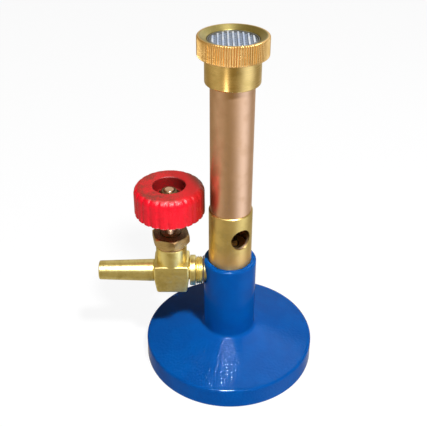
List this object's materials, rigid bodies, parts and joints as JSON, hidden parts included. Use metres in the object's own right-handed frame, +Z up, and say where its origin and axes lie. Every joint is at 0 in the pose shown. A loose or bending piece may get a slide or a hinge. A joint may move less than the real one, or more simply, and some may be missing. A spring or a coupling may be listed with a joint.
{
  "type": "bunsen burner",
  "caption": "Bench gas burner: round cast foot with a tall boss, side needle valve with a hose nozzle, turning air collar, upright tube and a knurled head with a flame grid.",
  "frame": {"origin": "on the foot's underside, on the axis of the burner tube", "axes": "+Z up the burner tube, +X away from the hose nozzle, -Y the side from which the valve is on the left"},
  "size_m": [0.1063, 0.085, 0.1678],
  "materials": {
    "blue_enamel": "gloss enamel over a cast surface, slightly rippled",
    "turned_brass": "fine turned",
    "knurled_brass": "turned, straight knurl, warm lacquer",
    "valve_brass": "machined from bar and forging, greenish yellow",
    "aged_brass": "darkened by handling and heat",
    "copper_tube": "drawn copper-coloured metal, brushed along its length",
    "red_plastic": "moulded, satin gloss",
    "nickel_strip": "bright nickel strip",
    "seal_fibre": "pressed dark fibre",
    "seal_rubber": "moulded rubber"
  },
  "bodies": {
    "burner": {"foot": "blue_enamel", "seat_gasket": "seal_fibre", "burner_seat": "turned_brass", "gas_jet": "turned_brass", "burner_tube": "copper_tube", "hose_nozzle": "valve_brass", "inlet_nipple": "valve_brass", "port_washer": "seal_fibre", "lock_ring": "valve_brass", "valve_body": "valve_brass", "bonnet_washer": "copper_tube", "bonnet_nut": "aged_brass", "gland_bush": "aged_brass"},
    "collar": {"air_collar": "turned_brass"},
    "spindle_seal": {"spindle_o_ring": "seal_rubber"},
    "handwheel": {"valve_spindle": "copper_tube", "knob": "red_plastic", "knob_washer": "aged_brass", "knob_nut": "turned_brass"},
    "head": {"head_socket": "turned_brass", "grid_frame": "nickel_strip", "grid": "nickel_strip", "knurled_ring": "knurled_brass"}
  },
  "joints": [
    {"name": "collar_turn", "type": "hinge", "parent": "burner", "child": "collar", "pos_m": [0, 0, 0.0713], "axis": [0, 0, 1], "continuous": true},
    {"name": "spindle_rise", "type": "slide", "parent": "burner", "child": "spindle_seal", "axis": [0, 0, 1], "range_m": [0, 0.003]},
    {"name": "handwheel_turn", "type": "hinge", "parent": "spindle_seal", "child": "handwheel", "pos_m": [-0.0282, 0, 0.0662], "axis": [0, 0, 1], "range_deg": [0, 1080]},
    {"name": "head_lift", "type": "slide", "parent": "burner", "child": "head", "axis": [0, 0, 1], "range_m": [0, 0.0095]}
  ],
  "couplings": [
    {"joint": "spindle_rise", "follows": "handwheel_turn", "m_per_rad": 0.00015915}
  ]
}
